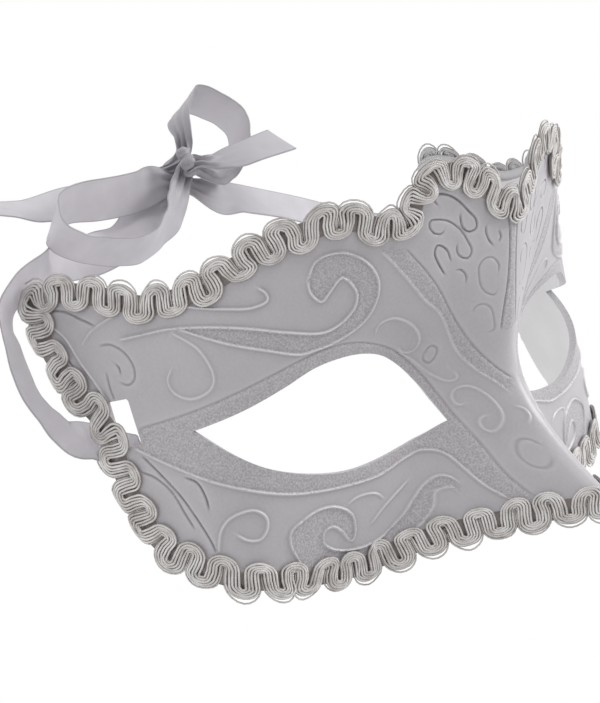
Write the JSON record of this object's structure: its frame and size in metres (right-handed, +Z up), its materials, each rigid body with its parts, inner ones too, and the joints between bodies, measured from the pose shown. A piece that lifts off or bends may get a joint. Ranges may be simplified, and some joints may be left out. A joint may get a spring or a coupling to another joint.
{
  "type": "half mask",
  "caption": "Half mask lying face up, with two almond eye holes, a pointed nose, scalloped braid round the edge and ribbon ties knotted in a bow.",
  "frame": {"origin": "middle of the bottom of the mask's box, on the surface its side edges rest on, measured without the ribbons", "axes": "+Z up out of the face, +Y towards the forehead edge, +X towards the wearer's left"},
  "size_m": [0.1711, 0.1437, 0.0853],
  "materials": {
    "shell": "satin painted, with frosted bands",
    "braid": "silky cord",
    "ribbon": "sheer satin"
  },
  "bodies": {
    "root": {"mask_shell": "shell", "edge_braid": "braid", "ribbon_left": "ribbon", "ribbon_right": "ribbon"}
  },
  "joints": []
}
